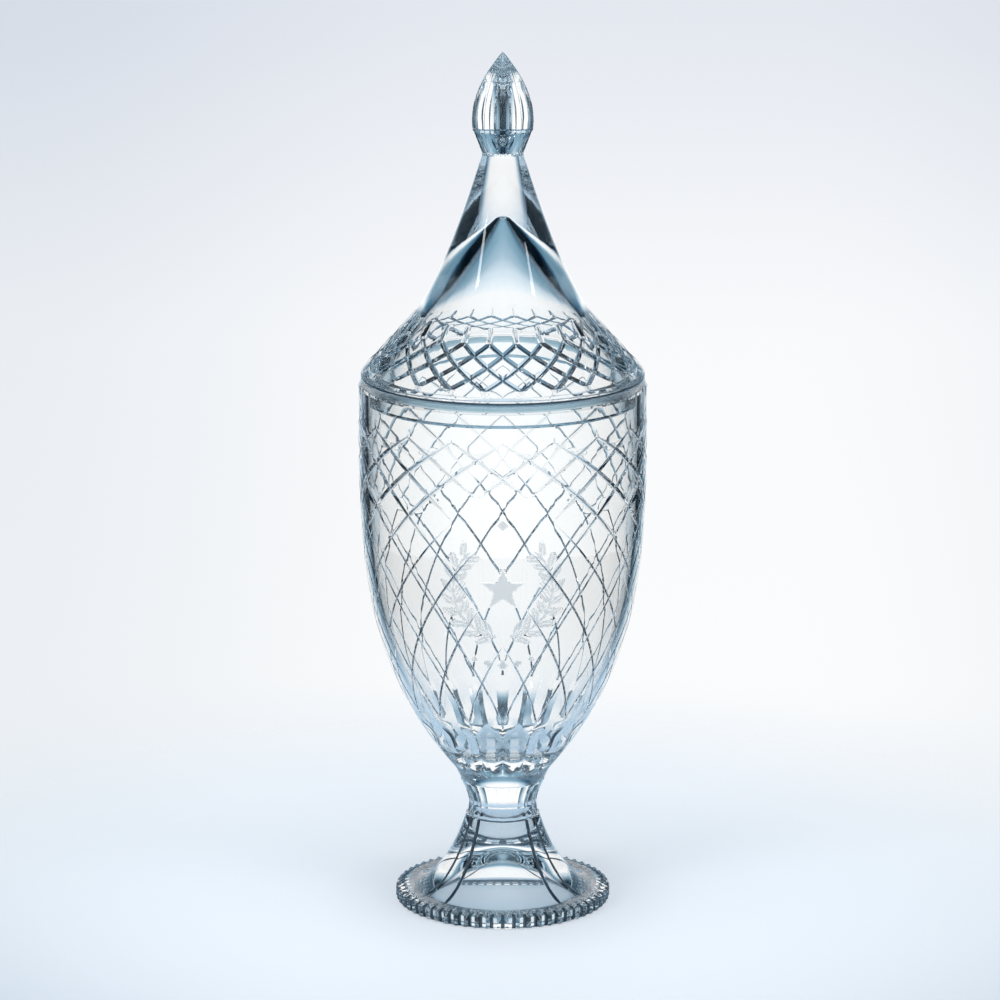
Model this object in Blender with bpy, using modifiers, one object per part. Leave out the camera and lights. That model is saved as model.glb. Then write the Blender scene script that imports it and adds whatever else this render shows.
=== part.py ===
# Covered urn trophy in clear cut crystal: a panel-cut foot bonded under an ovoid bowl with a
# diamond lattice, and a tall hollow lid with a fluted bud finial bonded on its neck.
# Metres, +Z up, the axis of every piece on Z, the ground ring of the foot at Z = 0, front at -Y.

import math

import bmesh
import bpy

# Foot: a notched disc, a trumpet of flat panels up to a small ledge, a narrow neck and a hollow underneath
FOOT_DIAMETER = 0.103
FOOT_HEIGHT = 0.0604
DISC_THICKNESS = 0.007
DISC_EDGE_BEVEL = 0.0012
DISC_NOTCHES = 60
NOTCH_DEPTH = 0.0014
NOTCH_LENGTH = 0.0065
HOLLOW_FOOT_DIAMETER = 0.072
HOLLOW_FOOT_HEIGHT = 0.024
PANELS = 18
TRUMPET_DIAMETER = 0.086
TRUMPET_TOP_HANDLE = 0.008
TRUMPET_TOP_ANGLE = math.radians(14)
TRUMPET_FOOT_HANDLE = 0.016
TRUMPET_FOOT_ANGLE = math.radians(18)
CREASE_DIAMETER = 0.0358
LEDGE = 0.0006
NECK_HEIGHT = 0.018
NECK_TOP_HANDLE = 0.006
NECK_FOOT_HANDLE = 0.007
NECK_FOOT_ANGLE = math.radians(20)
FOOT_TOP_DIAMETER = 0.0408
FOOT_TOP_ANGLE = math.radians(27)

# Bonded joints: a thin film of clear adhesive, a little narrower than the faces it joins
BOND_THICKNESS = 0.0003
BOND_SETBACK = 0.0008

# Bowl: a curved belly on a small base edge, with an open mouth and a lip bevelled on its outside
BOWL_DIAMETER = 0.1362
BOWL_HEIGHT = 0.1963
BOWL_WALL = 0.0046
BOWL_FLOOR = 0.0158
BOWL_BASE_DIAMETER = 0.046
BASE_EDGE_HEIGHT = 0.0058
SHOULDER_DROP = 0.020
SHOULDER_HANDLE = 0.066
BELLY_BASE_HANDLE = 0.0687
BELLY_BASE_ANGLE = math.radians(40.5)
LIP_HEIGHT = 0.0038
LIP_DEPTH = 0.0012
RIM_ROUND = 0.0009
FLOOR_ROUND = 0.012

# Lattice cut on the bowl: columns round it, half rows that lengthen downwards
LATTICE_COLUMNS = 18
LATTICE_HALF_ROWS = 10
LATTICE_ROW_GROWTH = 1.125
PLAIN_BAND = 0.0175
GROOVE_WIDTH = 0.0019
GROOVE_DEPTH = 0.0008
GROOVE_RUNOUT = 0.0025
LEAF_HEIGHT = 0.0388
LEAF_FOOT_HEIGHT = 0.0088
LEAF_DEPTH = 0.0029
LEAF_ROWS = ((0.25, 0.6), (0.5, 1), (0.75, 0.8), (1, 0))  # shares of the leaf's height and depth

# Lid: a hollow flared cone with a diamond band, a rounded rim and a collar inside the mouth
LID_HEIGHT = 0.1052
RIM_SETBACK = 0.0012
LID_RIM_HEIGHT = 0.0022
SKIRT_HEIGHT = 0.0309
SKIRT_TOP_DIAMETER = 0.082
SKIRT_TOP_HANDLE = 0.0154
NECK_DIAMETER = 0.0194
NECK_HANDLE = 0.0261
NECK_ANGLE = math.radians(17)
BAND_START = 0.005
BAND_LENGTH = 0.025
BAND_COLUMNS = 24
BAND_HALF_ROWS = 4
BAND_DEPTH = 0.0018
SEAT_GAP = 0.0003
COLLAR_CLEARANCE = 0.0005
COLLAR_DEPTH = 0.0115
COLLAR_WALL = 0.0052
COLLAR_BEVEL = 0.0009
HOLLOW_HEIGHT = 0.0768
HOLLOW_TIP_ROUND = 0.003

# Finial: a fluted bud with a plain point
FINIAL_HEIGHT = 0.0477
FINIAL_DIAMETER = 0.0288
FINIAL_BASE_DIAMETER = 0.019
FINIAL_STEP_HEIGHT = 0.0106
FINIAL_STEP = 0.0006
FINIAL_WIDEST_HEIGHT = 0.0155
FINIAL_SIDE_HANDLE = 0.0105
FINIAL_TIP_HANDLE = 0.0142
FINIAL_TIP_ANGLE = math.radians(41)
FLUTES = 30
FLUTE_DEPTH = 0.0016
POINT_LENGTH = 0.008

# Facets: steps round each turned piece
LATTICE_STEPS = 2 * LATTICE_COLUMNS
BAND_STEPS = 2 * BAND_COLUMNS
FLUTE_STEPS = 2 * FLUTES
NOTCH_STEPS = 2 * DISC_NOTCHES
BOND_STEPS = 48
HOLLOW_STEPS = 72
MERGE = 0.00001
SHARP_ANGLE = math.radians(12)  # flatter edges than this are shaded smooth
FRONT = -math.pi / 2

# Heights of the joints above the ground
FOOT_TOP = FOOT_HEIGHT
BOWL_BASE = FOOT_TOP + BOND_THICKNESS
BOWL_RIM = BOWL_BASE + BOWL_HEIGHT
LID_SEAT = BOWL_RIM + SEAT_GAP
LID_TOP = LID_SEAT + LID_HEIGHT
FINIAL_BASE = LID_TOP + BOND_THICKNESS

BOWL_RADIUS = BOWL_DIAMETER / 2
COLLAR_RADIUS = BOWL_RADIUS - BOWL_WALL - COLLAR_CLEARANCE


def bezier(start, start_handle, end_handle, end, count):
    """Points along a cubic curve, both ends included."""
    points = []
    for index in range(count + 1):
        t = index / count
        s = 1 - t
        weights = (s ** 3, 3 * s * s * t, 3 * s * t * t, t ** 3)
        corners = (start, start_handle, end_handle, end)
        points.append(tuple(sum(w * c[axis] for w, c in zip(weights, corners)) for axis in (0, 1)))
    return points


def arc(centre, radius, first, last, count):
    """Points along an arc from angle first to last, both ends included."""
    angles = [first + (last - first) * index / count for index in range(count + 1)]
    return [(centre[0] + radius * math.cos(a), centre[1] + radius * math.sin(a)) for a in angles]


def along(points, height):
    """Radius of a falling profile at a height."""
    for (r0, z0), (r1, z1) in zip(points, points[1:]):
        if z1 <= height <= z0:
            return r0 + (r1 - r0) * (z0 - height) / (z0 - z1)
    return points[-1][0] if height < points[-1][1] else points[0][0]


def crystal(name, colour, roughness):
    """Clear glass with a faint tint."""
    material = bpy.data.materials.new(name)
    material.use_nodes = True
    shader = material.node_tree.nodes["Principled BSDF"]
    shader.inputs["Base Color"].default_value = (*colour, 1)
    shader.inputs["Roughness"].default_value = roughness
    shader.inputs["Metallic"].default_value = 0
    shader.inputs["IOR"].default_value = 1.545
    shader.inputs["Transmission Weight"].default_value = 1
    return material


def turned(name, profile, steps, material, collection, first_angle=0.0):
    """A profile of (radius, height) points turned about Z by a Screw modifier."""
    mesh = bpy.data.meshes.new(name)
    turn = (math.cos(first_angle), math.sin(first_angle))
    corners = [(r * turn[0], r * turn[1], z) for r, z in profile]
    mesh.from_pydata(corners, [(i, i + 1) for i in range(len(corners) - 1)], [])
    piece = bpy.data.objects.new(name, mesh)
    collection.objects.link(piece)
    screw = piece.modifiers.new("turned", "SCREW")
    screw.steps = steps
    screw.render_steps = steps
    screw.use_merge_vertices = True
    screw.merge_threshold = MERGE
    mesh.materials.append(material)
    return piece


def make_mesh(piece):
    """Replaces a piece's modifiers by the mesh they make, and opens it for cutting."""
    bpy.context.view_layer.update()
    evaluated = piece.evaluated_get(bpy.context.evaluated_depsgraph_get())
    solid = bpy.data.meshes.new_from_object(evaluated)
    solid.name = piece.name
    piece.modifiers.clear()
    piece.data = solid
    cut = bmesh.new()
    cut.from_mesh(solid)
    return cut


def close_mesh(piece, cut):
    """Writes the cut mesh back, with its facets sharp and its curves smooth."""
    cut.normal_update()
    cut.to_mesh(piece.data)
    cut.free()
    shade(piece)


def shade(piece):
    piece.data.shade_smooth()
    piece.data.set_sharp_from_angle(angle=SHARP_ANGLE)


def column_of(vertex, steps):
    """Column number of a vertex, counted from the front."""
    turn = math.atan2(vertex.co.y, vertex.co.x) - FRONT
    return round(turn / (2 * math.pi / steps)) % steps


def signed_column(vertex, steps):
    column = column_of(vertex, steps)
    return column - steps if column > steps / 2 else column


def push_in(vertex, depth):
    """Moves a vertex straight towards the axis."""
    radius = math.hypot(vertex.co.x, vertex.co.y)
    share = (radius - depth) / radius
    vertex.co.x *= share
    vertex.co.y *= share


def handle(point, length, angle, up):
    """Curve handle that leans in towards the axis from a point, upwards or downwards."""
    return point[0] - length * math.sin(angle), point[1] + length * math.cos(angle) * up


def foot_panels():
    """Outline of the neck, the ledge and the trumpet over the arrises, from the bonded top down."""
    top = (FOOT_TOP_DIAMETER / 2, FOOT_TOP)
    crease = (CREASE_DIAMETER / 2, FOOT_TOP - NECK_HEIGHT)
    ledge = (crease[0] - LEDGE, crease[1] + LEDGE / 2)
    flare = (TRUMPET_DIAMETER / 2, DISC_THICKNESS)
    neck = bezier(top, handle(top, NECK_TOP_HANDLE, FOOT_TOP_ANGLE, -1),
                  handle(ledge, NECK_FOOT_HANDLE, NECK_FOOT_ANGLE, 1), ledge, 5)
    trumpet = bezier(crease, handle(crease, -TRUMPET_TOP_HANDLE, TRUMPET_TOP_ANGLE, 1),
                     handle(flare, TRUMPET_FOOT_HANDLE, math.pi / 2 - TRUMPET_FOOT_ANGLE, 1), flare, 8)
    return neck + trumpet


def foot_hollow():
    """Outline of the hollow under the foot, from its crown out to the ground ring."""
    ring = HOLLOW_FOOT_DIAMETER / 2
    curve = bezier((ring, 0), (ring * 2 / 3, HOLLOW_FOOT_HEIGHT / 2), (ring / 4, HOLLOW_FOOT_HEIGHT),
                   (0, HOLLOW_FOOT_HEIGHT), 10)
    below = -DISC_THICKNESS
    return curve[::-1] + [(ring, below), (0, below)]


def make_foot(material, collection):
    """Panel-cut trumpet joined to a disc with a notched edge, hollowed from below."""
    radius = FOOT_DIAMETER / 2
    disc_profile = [
        (0, DISC_THICKNESS),
        (radius - NOTCH_LENGTH, DISC_THICKNESS),
        (radius - DISC_EDGE_BEVEL, DISC_THICKNESS),
        (radius, DISC_THICKNESS - DISC_EDGE_BEVEL),
        (radius, DISC_EDGE_BEVEL),
        (radius - DISC_EDGE_BEVEL, 0),
        (0, 0),
    ]
    foot = turned("foot", disc_profile, NOTCH_STEPS, material, collection)
    cut = make_mesh(foot)
    for vertex in cut.verts:
        outer = math.hypot(vertex.co.x, vertex.co.y) > radius - DISC_EDGE_BEVEL - MERGE
        if outer and column_of(vertex, NOTCH_STEPS) % 2:
            push_in(vertex, NOTCH_DEPTH)
            if vertex.co.z > DISC_THICKNESS - MERGE:
                vertex.co.z -= NOTCH_DEPTH
    close_mesh(foot, cut)

    sunk = DISC_THICKNESS / 2
    panels = foot_panels()
    profile = [(0, FOOT_TOP)] + panels + [(panels[-1][0], sunk), (0, sunk)]
    trumpet = turned("foot_trumpet", profile, PANELS, material, collection, FRONT)
    hollow = turned("foot_hollow", foot_hollow(), HOLLOW_STEPS, material, collection)
    for tool, operation in ((trumpet, "UNION"), (hollow, "DIFFERENCE")):
        join = foot.modifiers.new(tool.name, "BOOLEAN")
        join.operation = operation
        join.object = tool
    joined = make_mesh(foot)
    bmesh.ops.remove_doubles(joined, verts=joined.verts, dist=MERGE)
    bpy.data.objects.remove(trumpet)
    bpy.data.objects.remove(hollow)
    close_mesh(foot, joined)
    return foot


def make_bond(name, radius, base, material, collection):
    """Film of adhesive between two flat ground faces."""
    edge = radius - BOND_SETBACK
    top = base + BOND_THICKNESS
    bond = turned(name, [(0, top), (edge, top), (edge, base), (0, base)], BOND_STEPS, material, collection)
    shade(bond)
    return bond


def belly_curve():
    """Outer belly of the bowl from the shoulder down to the base edge."""
    shoulder = (BOWL_RADIUS, BOWL_RIM - SHOULDER_DROP)
    base = (BOWL_BASE_DIAMETER / 2, BOWL_BASE + BASE_EDGE_HEIGHT)
    base_handle = (base[0] + BELLY_BASE_HANDLE * math.sin(BELLY_BASE_ANGLE),
                   base[1] + BELLY_BASE_HANDLE * math.cos(BELLY_BASE_ANGLE))
    return bezier(shoulder, (shoulder[0], shoulder[1] - SHOULDER_HANDLE), base_handle, base, 64)


def lattice_heights():
    """Height of each half row of the lattice, from the plain band down to the leaf tips."""
    top = BOWL_RIM - PLAIN_BAND
    span = top - (BOWL_BASE + LEAF_HEIGHT)
    first = span * (LATTICE_ROW_GROWTH - 1) / (LATTICE_ROW_GROWTH ** LATTICE_HALF_ROWS - 1)
    heights = [top]
    for row in range(LATTICE_HALF_ROWS):
        heights.append(heights[-1] - first * LATTICE_ROW_GROWTH ** row)
    return heights


def cavity_profile(belly):
    """Inside of the bowl from the middle of the floor up to the mouth, one wall inside the belly."""
    inner = []
    for (r0, z0), (r1, z1) in zip(belly, belly[1:]):
        length = math.hypot(r1 - r0, z1 - z0)
        across = ((z0 - z1) / length, (r1 - r0) / length)
        inner.append((r0 - BOWL_WALL * across[0], z0 - BOWL_WALL * across[1]))
    floor = BOWL_BASE + BOWL_FLOOR
    side = [point for point in inner if point[1] > floor + FLOOR_ROUND][::6]
    corner = side[-1]
    floor_edge = (corner[0] - FLOOR_ROUND, floor)
    rounded = bezier((floor_edge[0], floor), (corner[0] - FLOOR_ROUND / 3, floor),
                     (corner[0] - FLOOR_ROUND / 3, floor + FLOOR_ROUND / 3), corner, 4)
    return [(0, floor)] + rounded[:-1] + side[::-1]


def in_window(column, row):
    """True for lattice nodes inside the clear lozenge left open at the front for an engraving."""
    aside = abs(column)
    if not aside < row < LATTICE_HALF_ROWS - aside:
        return False
    under_top_diamond = aside == 0 and row == 2
    on_side_line = aside > 1 and row + aside == LATTICE_HALF_ROWS - 2
    return not (under_top_diamond or on_side_line)


def cut_lattice(cut, belly, heights):
    """Cuts V grooves along the diagonals of the grid, so that lozenges stand between them."""
    place = {}
    for vertex in cut.verts:
        radius = math.hypot(vertex.co.x, vertex.co.y)
        for row, height in enumerate(heights):
            if abs(vertex.co.z - height) < MERGE and abs(radius - along(belly, height)) < MERGE:
                place[vertex] = (signed_column(vertex, LATTICE_STEPS), row)
    nodes = {vertex for vertex, (column, row) in place.items() if (column + row) % 2 == 0}
    middles = [v for v, (column, row) in place.items() if v not in nodes and 0 < row < LATTICE_HALF_ROWS]
    grooved = [vertex for vertex in nodes if not in_window(*place[vertex])]

    bmesh.ops.connect_verts(cut, verts=list(nodes))
    bmesh.ops.dissolve_verts(cut, verts=middles)
    lozenges = [f for f in cut.faces if len(f.verts) == 4 and nodes.issuperset(f.verts)]
    bmesh.ops.inset_individual(cut, faces=lozenges, thickness=GROOVE_WIDTH / 2, use_even_offset=True)
    for vertex in grooved:
        push_in(vertex, GROOVE_DEPTH)
    for vertex in bmesh.ops.poke(cut, faces=lozenges)["verts"]:
        push_in(vertex, math.hypot(vertex.co.x, vertex.co.y) - along(belly, vertex.co.z))


def make_bowl(material, collection):
    """Ovoid bowl with a lattice of lozenges above a ring of pointed leaves."""
    belly = belly_curve()
    heights = lattice_heights()
    leaf_tip = heights[-1]
    leaf_foot = BOWL_BASE + LEAF_FOOT_HEIGHT
    leaf_rows = [leaf_tip + (leaf_foot - leaf_tip) * share for share, depth in LEAF_ROWS]
    base_edge = BOWL_BASE + BASE_EDGE_HEIGHT
    foot_face = (FOOT_TOP_DIAMETER / 2, BOWL_BASE)
    outline = [(BOWL_RADIUS, BOWL_RIM - LIP_HEIGHT), (BOWL_RADIUS, heights[0] + GROOVE_RUNOUT)]
    outline += [(along(belly, z), z) for z in heights + leaf_rows]
    outline += [(BOWL_BASE_DIAMETER / 2, base_edge), foot_face, (0, BOWL_BASE)]
    mouth = BOWL_RADIUS - BOWL_WALL
    lip_centre = (BOWL_RADIUS - LIP_DEPTH - RIM_ROUND, BOWL_RIM - RIM_ROUND)
    rim = [(mouth, BOWL_RIM - RIM_ROUND), (mouth + RIM_ROUND, BOWL_RIM)]
    rim += arc(lip_centre, RIM_ROUND, math.pi / 2, 0, 3)
    bowl = turned("bowl", cavity_profile(belly) + rim + outline, LATTICE_STEPS, material, collection)
    cut = make_mesh(bowl)
    leaf_depths = dict(zip(leaf_rows, (depth for share, depth in LEAF_ROWS)))
    for vertex in cut.verts:
        for height, share in leaf_depths.items():
            on_outside = math.hypot(vertex.co.x, vertex.co.y) > along(belly, height) - BOWL_WALL / 2
            if abs(vertex.co.z - height) < MERGE and on_outside and column_of(vertex, LATTICE_STEPS) % 2 == 0:
                push_in(vertex, LEAF_DEPTH * share)
    cut_lattice(cut, belly, heights)
    close_mesh(bowl, cut)
    return bowl


def lid_outline():
    """Outside of the lid from the neck down the flare to the rim, and the rows of the diamond band."""
    neck = (NECK_DIAMETER / 2, LID_TOP)
    skirt_top = (SKIRT_TOP_DIAMETER / 2, LID_SEAT + SKIRT_HEIGHT)
    rim = (BOWL_RADIUS - RIM_SETBACK, LID_SEAT + LID_RIM_HEIGHT)
    slope = math.atan2(rim[0] - skirt_top[0], skirt_top[1] - rim[1])
    neck_handle = (neck[0] + NECK_HANDLE * math.sin(NECK_ANGLE), neck[1] - NECK_HANDLE * math.cos(NECK_ANGLE))
    skirt_handle = (skirt_top[0] - SKIRT_TOP_HANDLE * math.sin(slope),
                    skirt_top[1] + SKIRT_TOP_HANDLE * math.cos(slope))
    cone = bezier(neck, neck_handle, skirt_handle, skirt_top, 10)
    length = math.hypot(rim[0] - skirt_top[0], skirt_top[1] - rim[1])
    band = []
    for row in range(BAND_HALF_ROWS + 1):
        share = (length - BAND_START - BAND_LENGTH * (1 - row / BAND_HALF_ROWS)) / length
        band.append((skirt_top[0] + (rim[0] - skirt_top[0]) * share,
                     skirt_top[1] + (rim[1] - skirt_top[1]) * share))
    return cone, band, rim


def make_lid(material, collection):
    """Flared cone with a hollow inside, a band of diamond points and a collar below its seat."""
    cone, band, rim = lid_outline()
    seat_edge = (rim[0] - LID_RIM_HEIGHT / 2, LID_SEAT)
    collar_foot = LID_SEAT - COLLAR_DEPTH
    bore = COLLAR_RADIUS - COLLAR_WALL
    under = [
        seat_edge,
        (COLLAR_RADIUS, LID_SEAT),
        (COLLAR_RADIUS, collar_foot + COLLAR_BEVEL),
        (COLLAR_RADIUS - COLLAR_BEVEL, collar_foot),
        (bore + COLLAR_BEVEL, collar_foot),
        (bore, collar_foot + COLLAR_BEVEL),
        (bore, LID_SEAT),
    ]
    slope = math.atan2(bore, HOLLOW_HEIGHT)
    tip_centre = (0, LID_SEAT + HOLLOW_HEIGHT - HOLLOW_TIP_ROUND / math.sin(slope))
    tip = arc(tip_centre, HOLLOW_TIP_ROUND, slope, math.pi / 2, 4)
    profile = [(0, LID_TOP)] + cone + band + [rim] + under + tip[:-1] + [(0, tip[-1][1])]
    lid = turned("lid", profile, BAND_STEPS, material, collection)
    cut = make_mesh(lid)
    band_rows = {}
    for vertex in cut.verts:
        for row, (radius, height) in enumerate(band):
            far = math.hypot(math.hypot(vertex.co.x, vertex.co.y) - radius, vertex.co.z - height)
            if far < MERGE:
                band_rows[vertex] = row
    grooves = [v for v, row in band_rows.items() if (column_of(v, BAND_STEPS) + row) % 2]
    bmesh.ops.connect_verts(cut, verts=grooves)
    for vertex in grooves:
        push_in(vertex, BAND_DEPTH)
    close_mesh(lid, cut)
    return lid


def make_finial(material, collection):
    """Bud with V flutes from its base to a plain point."""
    base = (FINIAL_BASE_DIAMETER / 2, FINIAL_BASE)
    widest = (FINIAL_DIAMETER / 2, FINIAL_BASE + FINIAL_WIDEST_HEIGHT)
    tip = (0, FINIAL_BASE + FINIAL_HEIGHT)
    tip_handle = (FINIAL_TIP_HANDLE * math.sin(FINIAL_TIP_ANGLE),
                  tip[1] - FINIAL_TIP_HANDLE * math.cos(FINIAL_TIP_ANGLE))
    bud = bezier(tip, tip_handle, (widest[0], widest[1] + FINIAL_SIDE_HANDLE), widest, 10)
    step_height = FINIAL_BASE + FINIAL_STEP_HEIGHT
    step = (widest[0] - FINIAL_STEP / 2, step_height + FINIAL_STEP)
    under_step = (step[0] - FINIAL_STEP, step_height)
    profile = bud + [step, under_step, base, (0, FINIAL_BASE)]
    finial = turned("finial", profile, FLUTE_STEPS, material, collection)
    cut = make_mesh(finial)
    point = tip[1] - POINT_LENGTH
    for vertex in cut.verts:
        below_point = point - vertex.co.z
        if below_point > 0 and vertex.co.z > base[1] + MERGE and column_of(vertex, FLUTE_STEPS) % 2:
            push_in(vertex, FLUTE_DEPTH * min(1, below_point / POINT_LENGTH))
    close_mesh(finial, cut)
    return finial


def build():
    for item in list(bpy.data.objects):
        bpy.data.objects.remove(item)
    collection = bpy.data.collections.new("covered_urn_trophy")
    bpy.context.scene.collection.children.link(collection)
    clear = crystal("cut_crystal", (0.93, 0.96, 0.98), 0.02)
    glue = crystal("clear_adhesive", (0.97, 0.98, 0.98), 0.1)
    make_foot(clear, collection)
    make_bond("foot_bond", FOOT_TOP_DIAMETER / 2 * math.cos(math.pi / PANELS), FOOT_TOP, glue, collection)
    make_bowl(clear, collection)
    make_lid(clear, collection)
    make_bond("finial_bond", min(NECK_DIAMETER, FINIAL_BASE_DIAMETER) / 2, LID_TOP, glue, collection)
    make_finial(clear, collection)


build()
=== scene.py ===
import math

import bmesh
import bpy
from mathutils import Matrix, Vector


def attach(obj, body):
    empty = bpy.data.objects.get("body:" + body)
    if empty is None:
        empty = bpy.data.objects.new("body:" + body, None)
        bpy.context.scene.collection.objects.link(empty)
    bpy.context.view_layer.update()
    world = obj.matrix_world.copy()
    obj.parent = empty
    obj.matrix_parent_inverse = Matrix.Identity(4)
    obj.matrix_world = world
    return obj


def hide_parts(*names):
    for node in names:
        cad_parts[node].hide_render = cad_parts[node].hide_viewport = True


# Covered urn in clear cut lead crystal: panel-cut foot, ovoid bowl with a diamond lattice, hollow lid
# and bud finial. Metres, +Z up, the axis of every piece on Z, the front at -Y.
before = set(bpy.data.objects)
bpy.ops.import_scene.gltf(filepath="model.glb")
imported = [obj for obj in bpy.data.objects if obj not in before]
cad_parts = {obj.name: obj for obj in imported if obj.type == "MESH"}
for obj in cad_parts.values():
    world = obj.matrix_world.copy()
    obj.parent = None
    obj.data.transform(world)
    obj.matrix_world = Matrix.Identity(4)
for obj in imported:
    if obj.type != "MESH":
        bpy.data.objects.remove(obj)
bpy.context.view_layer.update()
scene = bpy.context.scene
scene.view_settings.view_transform = "Standard"
scene.cycles.max_bounces = 40
scene.cycles.transmission_bounces = 40  # light crosses many walls before it leaves cut crystal
scene.cycles.glossy_bounces = 24
scene.cycles.transparent_max_bounces = 24
print("frame loaded:", sorted(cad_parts))

front = -math.pi / 2
fullTurn = 2 * math.pi
mergeDistance = 0.00001
ringSlack = 0.0001   # how far a ring's points may lie from its height, or a sheet's from a cutting plane
edgeSlack = 0.001    # rows from a sheet's edge that still count as the edge
countSlack = 1e-6    # keeps a whole count from falling to the one below
cutAngle = 14        # degrees; faces that meet at more than this make a crisp cut edge


# Colours and shader nodes

def linear(hexColour):
    channels = [int(hexColour[i:i + 2], 16) / 255 for i in (1, 3, 5)]
    return [c / 12.92 if c <= 0.04045 else ((c + 0.055) / 1.055) ** 2.4 for c in channels] + [1]


def addNode(tree, kind, settings=(), **inputs):
    made = tree.nodes.new(kind)
    for name, value in dict(settings).items():
        setattr(made, name, value)
    for name, value in inputs.items():
        socket = made.inputs[int(name[1:]) if name[0] == "_" else name.replace("_", " ")]
        if isinstance(value, bpy.types.NodeSocket):
            tree.links.new(value, socket)
        else:
            socket.default_value = value
    return made


def newMaterial(name):
    made = bpy.data.materials.new(name)
    made.use_nodes = True
    made.node_tree.nodes.clear()
    return made, made.node_tree


# Finishes

crystalLook = dict(
    tint="#FEFFFF",       # faint cool cast of lead crystal
    ior=1.545,
    waveSize=9,           # mm between the soft swells that acid polishing leaves
    waveHeight=0.004,     # mm
    frostTint="#DFE5EA",
    bondTint="#FCFEFE",
    frostRoughness=0.5,   # sand-carved ground of the engraving
    groundTint="#AFCBD8",
    groundRoughness=(0.12, 0.28),  # collar of the lid and mouth of the bowl, ground to fit
    # painted shade: a dark tint that draws the dark lines of the thin cuts and the lid's seat
    paintedLineShade="#24343F",
    lineRoughness=(0.2, 0.4),      # thin cuts that the polish doesn't reach
    gritSize=0.6,         # mm; real grit is finer, drawn coarser so that it shows
)


# Normal of the softly swelling skin that acid polishing leaves
def polishedSkin(tree):
    look = crystalLook
    place = addNode(tree, "ShaderNodeTexCoord").outputs["Object"]
    swell = addNode(tree, "ShaderNodeTexNoise", Vector=place, Scale=1000 / look["waveSize"], Detail=1.0)
    bump = addNode(tree, "ShaderNodeBump", Height=swell.outputs["Fac"], Distance=look["waveHeight"] / 1000)
    return bump.outputs["Normal"]


# Lead crystal, cut and then acid-polished: clear and bright, with a swelling skin and no grind marks
def acidPolishedCrystal():
    look = crystalLook
    made, tree = newMaterial("lead_crystal_acid_polished")
    shader = addNode(tree, "ShaderNodeBsdfPrincipled", Base_Color=linear(look["tint"]), Roughness=0.0,
                     IOR=look["ior"], Transmission_Weight=1.0, Normal=polishedSkin(tree))
    addNode(tree, "ShaderNodeOutputMaterial", Surface=shader.outputs["BSDF"])
    return made


# The same crystal with a sand-carved design: the carved ground is white and dull, the rest stays clear
def engravedCrystal():
    look = crystalLook
    made, tree = newMaterial("lead_crystal_sand_carved")
    carved = addNode(tree, "ShaderNodeAttribute", dict(attribute_name="carved")).outputs["Fac"]
    colour = addNode(tree, "ShaderNodeMix", dict(data_type="RGBA"), _0=carved, _6=linear(look["tint"]),
                     _7=linear(look["frostTint"]))
    rough = addNode(tree, "ShaderNodeMath", dict(operation="MULTIPLY"), _0=carved,
                    _1=look["frostRoughness"])
    shader = addNode(tree, "ShaderNodeBsdfPrincipled", Base_Color=colour.outputs[2],
                     Roughness=rough.outputs["Value"], IOR=look["ior"], Transmission_Weight=1.0,
                     Normal=polishedSkin(tree))
    addNode(tree, "ShaderNodeOutputMaterial", Surface=shader.outputs["BSDF"])
    return made


# Crystal that keeps the grit of the wheel or the grinding paste: dull and see-through, with a fine mottle
def dulledCrystal(name, tint, roughness):
    look = crystalLook
    made, tree = newMaterial(name)
    place = addNode(tree, "ShaderNodeTexCoord").outputs["Object"]
    grit = addNode(tree, "ShaderNodeTexNoise", Vector=place, Scale=1000 / look["gritSize"], Detail=2.0)
    rough = addNode(tree, "ShaderNodeMapRange", Value=grit.outputs["Fac"], To_Min=roughness[0],
                    To_Max=roughness[1])
    shader = addNode(tree, "ShaderNodeBsdfPrincipled", Base_Color=linear(tint), Roughness=rough.outputs[0],
                     IOR=look["ior"], Transmission_Weight=1.0)
    addNode(tree, "ShaderNodeOutputMaterial", Surface=shader.outputs["BSDF"])
    return made


# Where the lid's collar slides into the bowl's mouth, the crystal is ground to fit: a grey, dull band
def groundCrystalFace():
    look = crystalLook
    return dulledCrystal("lead_crystal_ground_joint", look["groundTint"], look["groundRoughness"])


# Mitre cuts, notches and the lid's seat have the wheel's dull skin and a dark tint of painted shade: it
# draws the dark lines that these cuts show by bending light away
def wheelCutPaintedDarkLine():
    look = crystalLook
    return dulledCrystal("lead_crystal_wheel_cut_painted_dark_line", look["paintedLineShade"], look["lineRoughness"])


# Two flat ground faces joined by clear adhesive of the crystal's own index: the joint all but vanishes
def bondedFace():
    made, tree = newMaterial("clear_adhesive_cured_in_joint")
    shader = addNode(tree, "ShaderNodeBsdfTransparent", Color=linear(crystalLook["bondTint"]))
    addNode(tree, "ShaderNodeOutputMaterial", Surface=shader.outputs["BSDF"])
    return made


clearCrystal = acidPolishedCrystal()
carvedCrystal = engravedCrystal()
hiddenFace = bondedFace()
groundCrystal = groundCrystalFace()
paintedDarkLineCrystal = wheelCutPaintedDarkLine()
print("finishes made")


# Curves and meshes

def bezier(start, startHandle, endHandle, end, count):
    points = []
    for i in range(count + 1):
        t = i / count
        weights = ((1 - t) ** 3, 3 * (1 - t) ** 2 * t, 3 * (1 - t) * t * t, t ** 3)
        corners = (start, startHandle, endHandle, end)
        points.append(tuple(sum(w * c[axis] for w, c in zip(weights, corners)) for axis in (0, 1)))
    return points


def arc(centre, radius, first, last, count):
    angles = [first + (last - first) * i / count for i in range(count + 1)]
    return [(centre[0] + radius * math.cos(a), centre[1] + radius * math.sin(a)) for a in angles]


def radiusAt(profile, height):
    for (r0, z0), (r1, z1) in zip(profile, profile[1:]):
        if z1 <= height <= z0:
            return r0 + (r1 - r0) * (z0 - height) / (z0 - z1)
    return profile[0][0] if height > profile[0][1] else profile[-1][0]


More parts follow.
